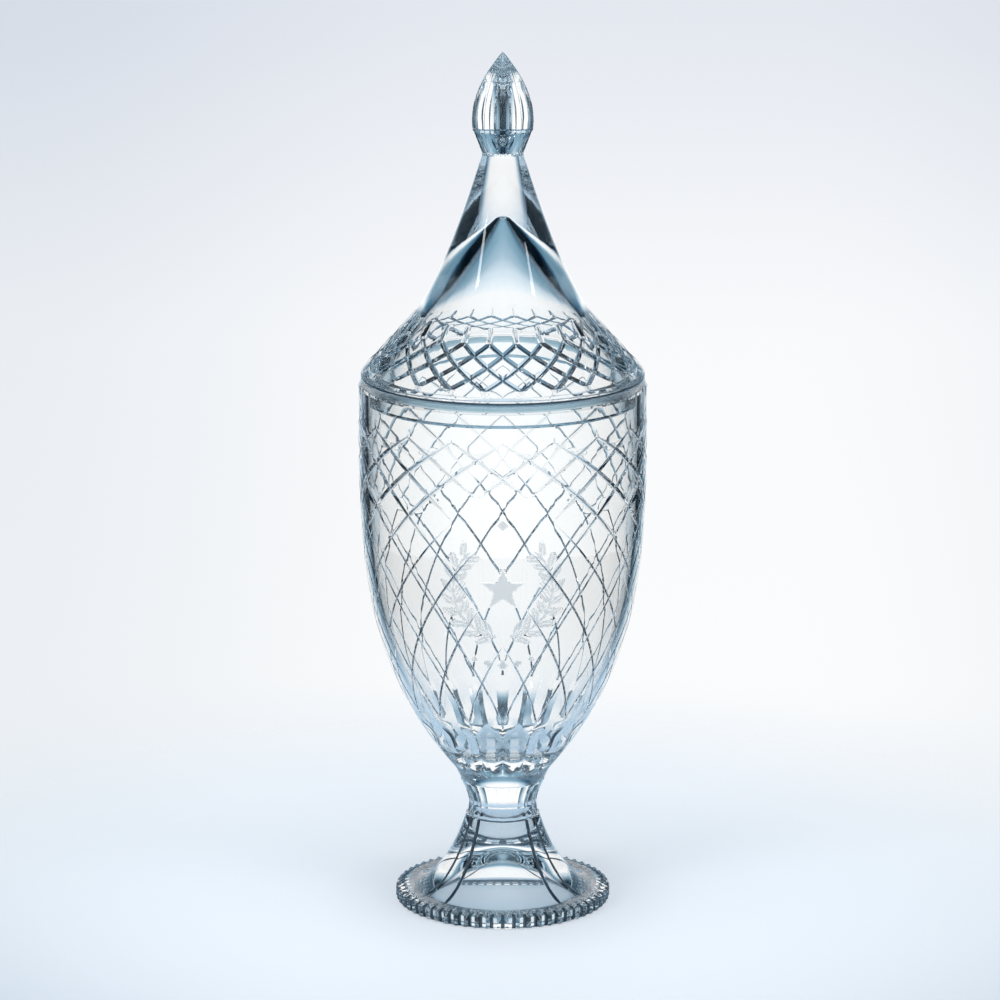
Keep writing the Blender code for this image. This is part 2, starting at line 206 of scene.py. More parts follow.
def outwardAt(profile, height):
    step = 0.0005
    slope = (radiusAt(profile, height + step) - radiusAt(profile, height - step)) / (2 * step)
    length = math.hypot(1, slope)
    return 1 / length, -slope / length


def turnOf(place):
    return math.atan2(place.y, place.x)


def setRound(vert, turn, radius, height):
    vert.co = Vector((radius * math.cos(turn), radius * math.sin(turn), height))


def spinProfile(bm, profile, steps, firstTurn):
    verts = [bm.verts.new((r * math.cos(firstTurn), r * math.sin(firstTurn), z)) for r, z in profile]
    edges = [bm.edges.new(pair) for pair in zip(verts, verts[1:])]
    bmesh.ops.spin(bm, geom=verts + edges, cent=(0, 0, 0), axis=(0, 0, 1), dvec=(0, 0, 0),
                   angle=fullTurn, steps=steps, use_merge=True)


# Carries an open ring of edges on through rings of (radius, height), or of what shape(turn, point) gives
# for the turn that each column had in the first ring
def extendRing(bm, ring, points, shape=None):
    home = {v: turnOf(v.co) for e in ring for v in e.verts}
    for point in points:
        grown = bmesh.ops.extrude_edge_only(bm, edges=ring)["geom"]
        made = [g for g in grown if isinstance(g, bmesh.types.BMVert)]
        nextHome = {}
        for vert in made:
            turn = next(home[e.other_vert(vert)] for e in vert.link_edges if e.other_vert(vert) in home)
            nextHome[vert] = turn
            setRound(vert, *(shape(turn, point) if shape else (turn, *point)))
        home = nextHome
        ring = [g for g in grown if isinstance(g, bmesh.types.BMEdge)
                and all(v in home for v in g.verts)]
    return ring


def closeRing(bm, ring, height):
    verts = list({v for e in ring for v in e.verts})
    face = bmesh.ops.contextual_create(bm, geom=ring)["faces"]
    centre = bmesh.ops.poke(bm, faces=face)["verts"]
    for vert in centre:
        vert.co = Vector((0, 0, height))
    return verts


def finishPiece(name, bm, materials, body, node, sharp=20):
    bmesh.ops.remove_doubles(bm, verts=bm.verts, dist=mergeDistance)
    bmesh.ops.recalc_face_normals(bm, faces=bm.faces)
    mesh = bpy.data.meshes.new(name)
    bm.to_mesh(mesh)
    openEdges = sum(1 for e in bm.edges if not e.is_manifold)
    bm.free()
    mesh.shade_smooth()
    mesh.set_sharp_from_angle(angle=math.radians(sharp))
    for material in materials:
        mesh.materials.append(material)
    piece = bpy.data.objects.new(name, mesh)
    scene.collection.objects.link(piece)
    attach(piece, body)
    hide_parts(node)
    print("made", name, len(mesh.polygons), "faces,", openEdges, "open edges")
    return piece


# A flat sheet of lozenges: x counts half columns, y half rows, and the grid lines lie along the cuts.
# Each lozenge side has `fine` lines inside the width of the cut and `coarse` lines between cuts.
def lozengeSheet(bm, halfColumns, halfRows, cutShare, fine, coarse):
    perCell = 2 * fine + coarse
    half = halfColumns / 2
    low = math.floor(-half / 2 - halfRows / 2)
    cells = int(math.ceil(half + halfRows))

    def warp(t):
        whole = math.floor(t / perCell + countSlack)
        step = t - whole * perCell
        if step <= fine:
            share = cutShare * step / fine
        elif step >= perCell - fine:
            share = 1 - cutShare * (perCell - step) / fine
        else:
            share = cutShare + (1 - 2 * cutShare) * (step - fine) / coarse
        return low + whole + share

    lines = cells * perCell
    bmesh.ops.create_grid(bm, x_segments=lines, y_segments=lines, size=lines / 2)
    for vert in bm.verts:
        p = warp(vert.co.x + lines / 2)
        q = warp(vert.co.y + lines / 2)
        vert.co = Vector((p + q, p - q, 0))
    planes = [((0, 0), (0, -1)), ((0, halfRows), (0, 1)), ((-half, 0), (-1, 0)), ((half, 0), (1, 0))]
    for point, away in planes:
        bmesh.ops.bisect_plane(bm, geom=bm.verts[:] + bm.edges[:] + bm.faces[:], dist=ringSlack,
                               plane_co=(*point, 0), plane_no=(*away, 0), clear_outer=True)
    return bm


def ringAt(bm, height):
    return [e for e in bm.edges
            if e.is_boundary and all(abs(v.co.z - height) < ringSlack for v in e.verts)]


# 0 on a sheet's first and last rows, whose heights stay, and 1 between them
def insideSheet(y, halfRows):
    return 0 if y < edgeSlack or y > halfRows - edgeSlack else 1


# Depth share of V cuts along the lozenge sides, at sheet place (x, y), with a steeper core in their
# inner third; mask says how deep each crossing is cut
def cutShareAt(x, y, width, core, mask):
    p = (x + y) / 2
    q = (x - y) / 2
    deepest = 0
    for along, across, swap in ((q, p, False), (p, q, True)):
        line = round(across)
        off = abs(across - line) / width
        if off >= 1:
            continue
        first = math.floor(along + countSlack)
        t = along - first
        ends = []
        for node in (first, first + 1):
            pp, qq = (node, line) if swap else (line, node)
            ends.append(mask(pp + qq, pp - qq))
        reach = ends[0] * (1 - t) + ends[1] * t
        deepest = max(deepest, reach - off + core * reach * max(0, 1 - 3 * off))
    return deepest


# Foot: one turned body with a panelled neck over a crease, broad panels and narrow ones between mitre cuts,
# a notched disc and a hollow underside

footShape = dict(
    diameter=0.103, height=0.0604, discThickness=0.007, edgeBevel=0.0012, notches=60, notchDepth=0.0014,
    notchLength=0.0065, hollow=0.072, hollowHeight=0.024, panels=18, panelHollow=0.012,
    broadPanel=0.992,            # share of the turned radius that the broad panels keep
    mitres=(40, 60, 120, 140),   # bearings from the front, in degrees; narrow panels lie between the pairs
    mitreWidth=0.0009, mitreDepth=0.0012, creaseCut=0.0008,
    notchLine=0.73,              # depth share of a notch past which it keeps the wheel's skin, tinted dark with painted shade
    trumpet=0.086, topHandle=0.008, topAngle=math.radians(14), footHandle=0.016, footAngle=math.radians(18),
    crease=0.0358, ledge=0.0006, neck=0.018, neckTopHandle=0.006, neckFootHandle=0.007,
    neckFootAngle=math.radians(20), bondFace=0.0408, bondAngle=math.radians(27),
    hollowFlank=2 / 3, hollowCrown=0.25,  # shares of the hollow's radius at which its curve's handles lie
    neckSteps=14, trumpetSteps=28, topSteps=4, hollowSteps=20, stepsPerNotch=12,
)


# A curve's handle: so far from the point, leaning inwards by the angle, upwards for 1 and downwards for -1
def onAngle(point, length, angle, up):
    return point[0] - length * math.sin(angle), point[1] + length * math.cos(angle) * up


def makeFoot():
    f = footShape
    radius = f["diameter"] / 2
    disc = f["discThickness"]
    bevel = f["edgeBevel"]
    topPoint = (f["bondFace"] / 2, f["height"])
    crease = (f["crease"] / 2, f["height"] - f["neck"])
    ledge = (crease[0] - f["ledge"], crease[1] + f["ledge"] / 2)
    flare = (f["trumpet"] / 2, disc)
    neck = bezier(topPoint, onAngle(topPoint, f["neckTopHandle"], f["bondAngle"], -1),
                  onAngle(ledge, f["neckFootHandle"], f["neckFootAngle"], 1), ledge, f["neckSteps"])
    trumpet = bezier(crease, onAngle(crease, -f["topHandle"], f["topAngle"], 1),
                     onAngle(flare, f["footHandle"], math.pi / 2 - f["footAngle"], 1), flare,
                     f["trumpetSteps"])
    notchStart = radius - f["notchLength"]
    topSteps = f["topSteps"]
    top = [(notchStart + (radius - bevel - notchStart) * i / topSteps, disc) for i in range(topSteps + 1)]
    edge = [(radius, disc - bevel), (radius, disc / 2), (radius, bevel), (radius - bevel, 0)]
    ring = (f["hollow"] / 2, 0)
    under = bezier(ring, (ring[0] * f["hollowFlank"], f["hollowHeight"] / 2),
                   (ring[0] * f["hollowCrown"], f["hollowHeight"]), (0, f["hollowHeight"]),
                   f["hollowSteps"])
    bm = bmesh.new()
    spinProfile(bm, [(0, f["height"])] + neck + trumpet + top + edge + under,
                f["notches"] * f["stepsPerNotch"], front)
    panel = fullTurn / f["panels"]
    notch = fullTurn / f["notches"]

    # Degrees from the front, 0 to 180 either way round
    def bearingOf(turn):
        return abs(math.degrees(turn - front + math.pi) % 360 - 180)

    def notchShare(turn):
        return 1 - abs((turn - front + notch / 2) % notch - notch / 2) / (notch / 2)

    def mitreShare(turn, r):
        near = min(abs(bearingOf(turn) - mitre) for mitre in f["mitres"])
        return max(0, 1 - math.radians(near) * r / f["mitreWidth"])

    for vert in bm.verts:
        turn = turnOf(vert.co)
        r = math.hypot(vert.co.x, vert.co.y)
        z = vert.co.z
        groove = notchShare(turn)
        outside = radiusAt(neck + trumpet, z) - mergeDistance
        if z > disc - mergeDistance and outside < r < flare[0] + mergeDistance:
            aside = (turn - front) % panel - panel / 2
            corner = min(bearingOf(turn), 180 - bearingOf(turn))
            onMitre = mitreShare(turn, r)
            flat = math.cos(panel / 2) / math.cos(aside)
            if z > ledge[1] - mergeDistance:
                r *= flat - f["panelHollow"] * (1 - (2 * aside / panel) ** 2)
                r -= f["creaseCut"] if z < ledge[1] + mergeDistance else 0
            else:
                r *= flat if f["mitres"][0] < corner < f["mitres"][1] else f["broadPanel"]
                r -= f["mitreDepth"] * onMitre
        elif r > radius - bevel - mergeDistance:
            r -= f["notchDepth"] * groove
            z -= f["notchDepth"] * groove if z > disc - mergeDistance else 0
        elif z > disc - mergeDistance and r > notchStart:
            z -= f["notchDepth"] * groove * (r - notchStart) / (radius - bevel - notchStart)
        setRound(vert, turn, r, z)
    piece = finishPiece("foot_crystal", bm, [clearCrystal, hiddenFace, paintedDarkLineCrystal], "cup", "foot",
                        cutAngle)
    # Mitre cuts, the crease and the deep ends of the notches take the dull cut finish, whose dark tint is
    # painted shade for the dark lines they show
    for face in piece.data.polygons:
        z = face.center.z
        r = face.center.xy.length
        bearing = bearingOf(turnOf(face.center))
        onTrumpet = disc < z < crease[1] and r > radiusAt(trumpet, z) - 2 * f["mitreDepth"]
        onCrease = crease[1] < z < ledge[1] and min(bearing, 180 - bearing) < f["mitres"][0]
        onEdge = mergeDistance < z < disc and r > radius - f["notchLength"] / 2
        if z > f["height"] - mergeDistance:
            face.material_index = 1
        elif onCrease or onTrumpet and mitreShare(turnOf(face.center), r) > 0:
            face.material_index = 2
        elif onEdge and notchShare(turnOf(face.center)) > f["notchLine"]:
            face.material_index = 2
    return piece


# Bowl: the lattice sheet is wrapped on the belly, then its rings run up to the mouth and down to the base

bowlShape = dict(
    diameter=0.1362, base=0.0607, height=0.1963, wall=0.0046, floor=0.0158, baseDiameter=0.046,
    baseEdge=0.0058, shoulderDrop=0.020, shoulderHandle=0.066, baseHandle=0.0687,
    baseAngle=math.radians(40.5), rimRound=0.0009, lipHeight=0.0038, lipDepth=0.0012, floorRound=0.012,
    columns=18, halfRows=10, rowGrowth=1.125, plainBand=0.0175, cutShare=0.085, cutDepth=0.0006,
    runOut=0.0025, leafHeight=0.0388, leafFoot=0.0088, leafDepth=0.0029, leafShare=0.2, tipShare=0.01,
    leafBelly=0.8, leafRows=20,
    thinRows=(3.2, 5.0), thinCut=0.28, steepRows=(4.6, 6.0), steepDepth=0.0027, cutCore=(0.2, 0.5),
    topCut=0.3, groundDepth=0.0042, groundStep=0.0003, cutLines=3, plainLines=6,
    bellySteps=240, innerStride=5, lipSteps=(6, 4), floorSteps=8,
)

# Sand-carved design in the window: a laurel wreath round a star, in mm from its centre. Its height and
# depth are in metres, and the part of the sheet made finer for it is in half columns and half rows.
engraving = dict(
    height=0.170, halfWidth=3.2, firstRow=3.4, lastRow=9.1, cuts=3, depth=0.00012,
    wreath=23.5, leaves=9, leafLength=9.0, leafWidth=3.0, leafLean=0.75, leafOut=3.2,
    firstLeaf=20, leafStep=14.5, stemEnds=(8, 140),  # degrees from straight down
    vein=0.28, stem=0.4, starPoints=5, starTip=10.5, starInner=4.3,
    beads=((0, 31, 2.4), (0, -38, 2.4), (-7, -37, 1.7), (7, -37, 1.7), (-13, -35, 1.2), (13, -35, 1.2)),
)


# Whether a place lies in one pointed leaf of the wreath, either side of its vein
def inLeaf(x, y, centreX, centreY, turn, length, width):
    along = (x - centreX) * math.cos(turn) + (y - centreY) * math.sin(turn)
    across = (y - centreY) * math.cos(turn) - (x - centreX) * math.sin(turn)
    share = abs(along) / (length / 2)
    return share < 1 and engraving["vein"] < abs(across) < width / 2 * (1 - share ** 2)


# Whether the design is carved at a place in mm from its centre
def carvedAt(x, y):
    e = engraving
    reach = math.hypot(x, y)
    if reach < e["starTip"]:
        half = math.pi / e["starPoints"]
        aside = abs((math.atan2(x, y) + half) % (2 * half) - half)
        tipX, notchX = e["starTip"], e["starInner"]
        px, py = reach * math.cos(aside), reach * math.sin(aside)
        nx, ny = notchX * math.cos(half), notchX * math.sin(half)
        return (nx - tipX) * py - ny * (px - tipX) > 0
    for beadX, beadY, size in e["beads"]:
        if abs(x - beadX) + abs(y - beadY) < size:
            return True
    if reach > e["wreath"] + e["leafLength"] or reach < e["wreath"] - e["leafLength"]:
        return False
    side = abs(x)
    bearing = math.degrees(math.atan2(side, -y))
    if abs(reach - e["wreath"]) < e["stem"] and e["stemEnds"][0] < bearing < e["stemEnds"][1]:
        return True
    for i in range(e["leaves"]):
        spot = math.radians(e["firstLeaf"] + e["leafStep"] * i)
        for way in (1, -1):
            lean = way * e["leafLean"]
            centre = e["wreath"] + way * e["leafOut"]
            if inLeaf(side, y, centre * math.sin(spot), -centre * math.cos(spot), spot - lean,
                      e["leafLength"], e["leafWidth"]):
                return True
    return False


def bellyCurve():
    b = bowlShape
    rim = b["base"] + b["height"]
    shoulder = (b["diameter"] / 2, rim - b["shoulderDrop"])
    base = (b["baseDiameter"] / 2, b["base"] + b["baseEdge"])
    baseHandle = (base[0] + b["baseHandle"] * math.sin(b["baseAngle"]),
                  base[1] + b["baseHandle"] * math.cos(b["baseAngle"]))
    return bezier(shoulder, (shoulder[0], shoulder[1] - b["shoulderHandle"]), baseHandle, base,
                  b["bellySteps"])


# How deep a crossing of the lattice is cut: not at all in the open lozenge at the front, but for one
# under its top and a line along each lower side
def windowMask(x, y):
    rows = bowlShape["halfRows"]
    turnCells = 2 * bowlShape["columns"]
    aside = abs((x + turnCells / 2) % turnCells - turnCells / 2)
    if not aside < y < rows - aside:
        return bowlShape["topCut"] if y < 1 else 1
    underTop = aside == 0 and y == 2
    sideLine = aside > 1 and y + aside == rows - 2
    return 1 if underTop or sideLine else 0


# 0 above the first of two rows, 1 below the second
def rowShare(y, rows):
    return min(1, max(0, (y - rows[0]) / (rows[1] - rows[0])))


# Cuts are wide and shallow near the mouth, thin and steep lower down
def bowlCut(x, y):
    return windowMask(x, y) * (1 - (1 - bowlShape["thinCut"]) * rowShare(y, bowlShape["thinRows"]))


def makeBowl():
    b = bowlShape
    rim = b["base"] + b["height"]
    radius = b["diameter"] / 2
    belly = bellyCurve()
    top = rim - b["plainBand"]
    leafTip = b["base"] + b["leafHeight"]
    growth = b["rowGrowth"]
    firstRow = (top - leafTip) * (growth - 1) / (growth ** b["halfRows"] - 1)
    bm = bmesh.new()
    lozengeSheet(bm, 2 * b["columns"], b["halfRows"], b["cutShare"], b["cutLines"], b["plainLines"])
    e = engraving
    fineEdges = {edge for face in bm.faces for edge in face.edges
                 if abs(face.calc_center_median().x) < e["halfWidth"]
                 and e["firstRow"] < face.calc_center_median().y < e["lastRow"]}
    bmesh.ops.subdivide_edges(bm, edges=list(fineEdges), cuts=e["cuts"], use_grid_fill=True)
    carved = bm.verts.layers.float.new("carved")
    for vert in bm.verts:
        x, y = vert.co.x, vert.co.y
        steep = rowShare(y, b["steepRows"])
        core = b["cutCore"][0] + (b["cutCore"][1] - b["cutCore"][0]) * steep
        depth = b["cutDepth"] + (b["steepDepth"] - b["cutDepth"]) * steep
        depth *= cutShareAt(x, y, b["cutShare"], core, bowlCut)
        height = top - firstRow * (growth ** y - 1) / (growth - 1)
        if abs(x) < e["halfWidth"] and e["firstRow"] < y < e["lastRow"]:
            across = x * math.pi / b["columns"] * radiusAt(belly, height)
            if carvedAt(across * 1000, (height - e["height"]) * 1000):
                vert[carved] = 1.0
                depth += e["depth"]
        outR, outZ = outwardAt(belly, height)
        lowered = depth * outZ * insideSheet(y, b["halfRows"])
        turn = front + x * math.pi / b["columns"]
        setRound(vert, turn, radiusAt(belly, height) - depth * outR, height - lowered)
    bmesh.ops.remove_doubles(bm, verts=bm.verts, dist=mergeDistance)

    mouth = radius - b["wall"]
    rimRound = b["rimRound"]
    lip = radius - b["lipDepth"]
    upTo = [(radius, top + b["runOut"]), (radius, top + 2 * b["runOut"]), (radius, rim - b["lipHeight"])]
    outSteps, inSteps = b["lipSteps"]
    upTo += arc((lip - rimRound, rim - rimRound), rimRound, 0, math.pi / 2, outSteps)
    upTo += arc((mouth + rimRound, rim - rimRound), rimRound, math.pi / 2, math.pi, inSteps)
    inner = []
    for (r0, z0), (r1, z1) in zip(belly, belly[1:]):
        length = math.hypot(r1 - r0, z1 - z0)
        inner.append((r0 - b["wall"] * (z0 - z1) / length, z0 - b["wall"] * (r1 - r0) / length))
    floor = b["base"] + b["floor"]
    step = b["groundStep"]
    side = [(mouth, rim - b["groundDepth"]), (mouth + step, rim - b["groundDepth"] - step)]
    side += [p for p in inner if p[1] > floor + b["floorRound"]][::b["innerStride"]]
    corner = side[-1]
    third = b["floorRound"] / 3
    bottom = bezier(corner, (corner[0] - third, floor + third), (corner[0] - third, floor),
                    (corner[0] - b["floorRound"], floor), b["floorSteps"])
    ring = extendRing(bm, ringAt(bm, top), upTo + side + bottom[1:] + [(bottom[-1][0] / 2, floor)])
    closeRing(bm, ring, floor)

    leafFoot = b["base"] + b["leafFoot"]
    leaf = fullTurn / b["columns"]
    flank = b["cutShare"] + (1 - 2 * b["cutShare"]) / b["plainLines"]

    # Hollows a leaf into the belly under each column; the sheet's lines move aside with the leaf's width
    def leafCut(turn, point):
        height = point[1]
        s = min(1, max(0, (leafTip - height) / (leafTip - leafFoot)))
        aside = ((turn - front + leaf / 2) % leaf - leaf / 2) / leaf
        width = b["tipShare"] + b["leafShare"] * math.sin(math.pi * s ** b["leafBelly"])
        share = abs(aside)
        depth = b["leafDepth"] * math.sin(math.pi * s) * max(0, 1 - share / flank)
        if share < flank:
            moved = share * width / flank
        else:
            moved = width + (share - flank) * (0.5 - width) / (0.5 - flank)
        return turn + leaf * math.copysign(moved - share, aside), point[0] - depth, height

    rows = b["leafRows"]
    heights = [leafTip + (leafFoot - leafTip) * (i + 1) / rows for i in range(rows)]
    down = [(radiusAt(belly, z), z) for z in heights]
    ring = extendRing(bm, ringAt(bm, leafTip), down, leafCut)
    baseEdge = b["base"] + b["baseEdge"]
    footFace = footShape["bondFace"] / 2 * math.cos(math.pi / footShape["panels"])
    edgePoints = [(b["baseDiameter"] / 2, baseEdge), (footFace, b["base"]), (footFace / 2, b["base"])]
    ring = extendRing(bm, ring, edgePoints)
    closeRing(bm, ring, b["base"])
    piece = finishPiece("bowl_crystal", bm, [carvedCrystal, hiddenFace, groundCrystal], "cup", "bowl",
                        cutAngle)
    for face in piece.data.polygons:
        if face.center.z < b["base"] + mergeDistance:
            face.material_index = 1
        if face.center.z > rim - b["groundDepth"] and face.center.xy.length < lip - rimRound:
            face.material_index = 2
    return piece


# Lid: the band of diamonds is wrapped on the skirt, then its rings run up the flare and down the collar

lidShape = dict(
    seat=0.2573, height=0.1052, rimSetback=0.0012, rimHeight=0.0022, skirtHeight=0.0309, skirtTop=0.082,
    skirtHandle=0.0154, neck=0.0194, neckHandle=0.0261, neckAngle=math.radians(17), bandStart=0.005,
    bandLength=0.025, columns=24, halfRows=4, cutShare=0.14, cutDepth=0.0014, cutCore=0.28,
    cutLines=3, plainLines=4, coneGap=0.0015, rimSteps=(0.6, 0.3), noseAngle=math.radians(65),
    groundDepth=0.004, collarClearance=0.0005, collarDepth=0.0115, collarWall=0.0052, collarBevel=0.0009,
    hollowHeight=0.0768, tipRound=0.003, coneSteps=60, noseSteps=10, tipSteps=12, wallSteps=24,
)


def makeLid():
    d = lidShape
    top = d["seat"] + d["height"]
    bowlRadius = bowlShape["diameter"] / 2
    neck = (d["neck"] / 2, top)
    skirtTop = (d["skirtTop"] / 2, d["seat"] + d["skirtHeight"])
    rim = (bowlRadius - d["rimSetback"], d["seat"] + d["rimHeight"])
    slope = math.atan2(rim[0] - skirtTop[0], skirtTop[1] - rim[1])
    neckHandle = (neck[0] + d["neckHandle"] * math.sin(d["neckAngle"]),
                  neck[1] - d["neckHandle"] * math.cos(d["neckAngle"]))
    skirtHandle = (skirtTop[0] - d["skirtHandle"] * math.sin(slope),
                   skirtTop[1] + d["skirtHandle"] * math.cos(slope))
    cone = bezier(neck, neckHandle, skirtHandle, skirtTop, d["coneSteps"])
    length = math.hypot(rim[0] - skirtTop[0], skirtTop[1] - rim[1])
    outR, outZ = math.cos(slope), math.sin(slope)

    def onSkirt(fromRim):
        share = 1 - fromRim / length
        return skirtTop[0] + (rim[0] - skirtTop[0]) * share, skirtTop[1] + (rim[1] - skirtTop[1]) * share

    bandTop = d["bandStart"] + d["bandLength"]
    bm = bmesh.new()
    lozengeSheet(bm, 2 * d["columns"], d["halfRows"], d["cutShare"], d["cutLines"], d["plainLines"])
    for vert in bm.verts:
        x, y = vert.co.x, vert.co.y
        depth = d["cutDepth"] * cutShareAt(x, y, d["cutShare"], d["cutCore"], lambda u, v: 1)
        r, z = onSkirt(bandTop - d["bandLength"] * y / d["halfRows"])
        turn = front + (x + 1) * math.pi / d["columns"]
        setRound(vert, turn, r - depth * outR, z - depth * outZ * insideSheet(y, d["halfRows"]))
    bmesh.ops.remove_doubles(bm, verts=bm.verts, dist=mergeDistance)

    topRing = onSkirt(bandTop)
    up = [p for p in cone[::-1] if p[1] > topRing[1] + d["coneGap"]]
    ring = extendRing(bm, ringAt(bm, topRing[1]), up + [(neck[0] / 2, top)])
    closeRing(bm, ring, top)

    lowRing = onSkirt(d["bandStart"])
    collar = bowlRadius - bowlShape["wall"] - d["collarClearance"]
    bore = collar - d["collarWall"]
    collarFoot = d["seat"] - d["collarDepth"]
    bevel = d["collarBevel"]
    nose = d["rimHeight"] / 2
    rounded = arc((rim[0] - nose, d["seat"] + nose), nose, d["noseAngle"], -math.pi / 2, d["noseSteps"])
    down = [onSkirt(d["bandStart"] * share) for share in d["rimSteps"]] + rounded
    down += [(collar, d["seat"]), (collar, d["seat"] - d["groundDepth"]), (collar, collarFoot + bevel),
             (collar - bevel, collarFoot), (bore + bevel, collarFoot), (bore, collarFoot + bevel),
             (bore, d["seat"])]
    hollowSlope = math.atan2(bore, d["hollowHeight"])
    tipCentre = d["seat"] + d["hollowHeight"] - d["tipRound"] / math.sin(hollowSlope)
    tip = arc((0, tipCentre), d["tipRound"], hollowSlope, math.pi / 2, d["tipSteps"])
    steps = d["wallSteps"]
    wall = [(bore + (tip[0][0] - bore) * i / steps, d["seat"] + (tip[0][1] - d["seat"]) * i / steps)
            for i in range(1, steps)]
    ring = extendRing(bm, ringAt(bm, lowRing[1]), down + wall + tip[:-1])
    closeRing(bm, ring, tip[-1][1])
    finishes = [clearCrystal, hiddenFace, groundCrystal, paintedDarkLineCrystal]
    piece = finishPiece("lid_crystal", bm, finishes, "cover", "lid", cutAngle)
    for face in piece.data.polygons:
        if face.center.z > top - mergeDistance:
            face.material_index = 1
        inMouth = d["seat"] - d["groundDepth"] < face.center.z < d["seat"] - mergeDistance
        if inMouth and face.center.xy.length > collar - bevel:
            face.material_index = 2
        # Under the rim, the seat takes the dull cut finish, whose dark tint is painted shade for the dark
        # line at the joint
        underRim = face.center.xy.length > collar + bevel
        if underRim and d["seat"] - mergeDistance < face.center.z < d["seat"] + nose:
            face.material_index = 3
    return piece


# Finial: a bud with V flutes from its base to a plain point

finialShape = dict(
    base=0.3628, height=0.0477, diameter=0.0288, baseDiameter=0.019, stepHeight=0.0106, step=0.0006,
    widest=0.0155, sideHandle=0.0105, tipHandle=0.0142, tipAngle=math.radians(41), flutes=30,
    fluteDepth=0.0016, point=0.008, stepsPerFlute=6, budSteps=40, lowerSteps=10,
    handCut=0.35, handStep=2.4,  # share of the depth that varies from flute to flute, and how fast
)


def makeFinial():
    n = finialShape
    base = (n["baseDiameter"] / 2, n["base"])
    widest = (n["diameter"] / 2, n["base"] + n["widest"])
    tip = (0, n["base"] + n["height"])
    tipHandle = (n["tipHandle"] * math.sin(n["tipAngle"]),
                 tip[1] - n["tipHandle"] * math.cos(n["tipAngle"]))
    bud = bezier(tip, tipHandle, (widest[0], widest[1] + n["sideHandle"]), widest, n["budSteps"])
    stepHeight = n["base"] + n["stepHeight"]
    step = (widest[0] - n["step"] / 2, stepHeight + n["step"])
    under = (step[0] - n["step"], stepHeight)
    steps = n["lowerSteps"]
    lower = [(under[0] + (base[0] - under[0]) * i / steps, under[1] + (base[1] - under[1]) * i / steps)
             for i in range(1, steps)]
    profile = bud + [step, under] + lower + [base, (0, n["base"])]
    bm = bmesh.new()
    spinProfile(bm, profile, n["flutes"] * n["stepsPerFlute"], front)
    flute = fullTurn / n["flutes"]
    for vert in bm.verts:
        below = tip[1] - n["point"] - vert.co.z
        if below > 0 and vert.co.z > base[1] + mergeDistance:
            turn = turnOf(vert.co)
            aside = abs((turn - front) % flute - flute / 2) / (flute / 2)
            cut = math.floor((turn - front) / flute + mergeDistance) % n["flutes"]
            mirrored = min(cut, n["flutes"] - 1 - cut)
            uneven = 1 - n["handCut"] * (1 + math.sin(n["handStep"] * mirrored)) / 2
            depth = n["fluteDepth"] * uneven * min(1, below / n["point"]) * (1 - aside)
            setRound(vert, turn, math.hypot(vert.co.x, vert.co.y) - depth, vert.co.z)
    piece = finishPiece("finial_crystal", bm, [clearCrystal, hiddenFace], "cover", "finial")
    for face in piece.data.polygons:
        if face.center.z < n["base"] + mergeDistance:
            face.material_index = 1
    return piece


# Bonds: thin discs of adhesive, a little smaller than the faces they join

bondShape = dict(footRadius=0.0195, finialRadius=0.0087, steps=96)


def makeBond(name, node, body, radius, low, high):
    bm = bmesh.new()
    spinProfile(bm, [(0, high), (radius, high), (radius, low), (0, low)], bondShape["steps"], front)
    return finishPiece(name, bm, [hiddenFace], body, node)


makeFoot()
makeBowl()
makeLid()
makeFinial()
makeBond("foot_bond_film", "foot_bond", "cup", bondShape["footRadius"], footShape["height"],
         bowlShape["base"])
makeBond("finial_bond_film", "finial_bond", "cover", bondShape["finialRadius"],
         lidShape["seat"] + lidShape["height"], finialShape["base"])


# Studio: a round paper wall, white behind the urn and dark to both sides, so that clear glass shows dark
# edges; glass sees the wall, the eye sees a pale room, painted darker towards its edges, over a pale round
# floor with painted shadows

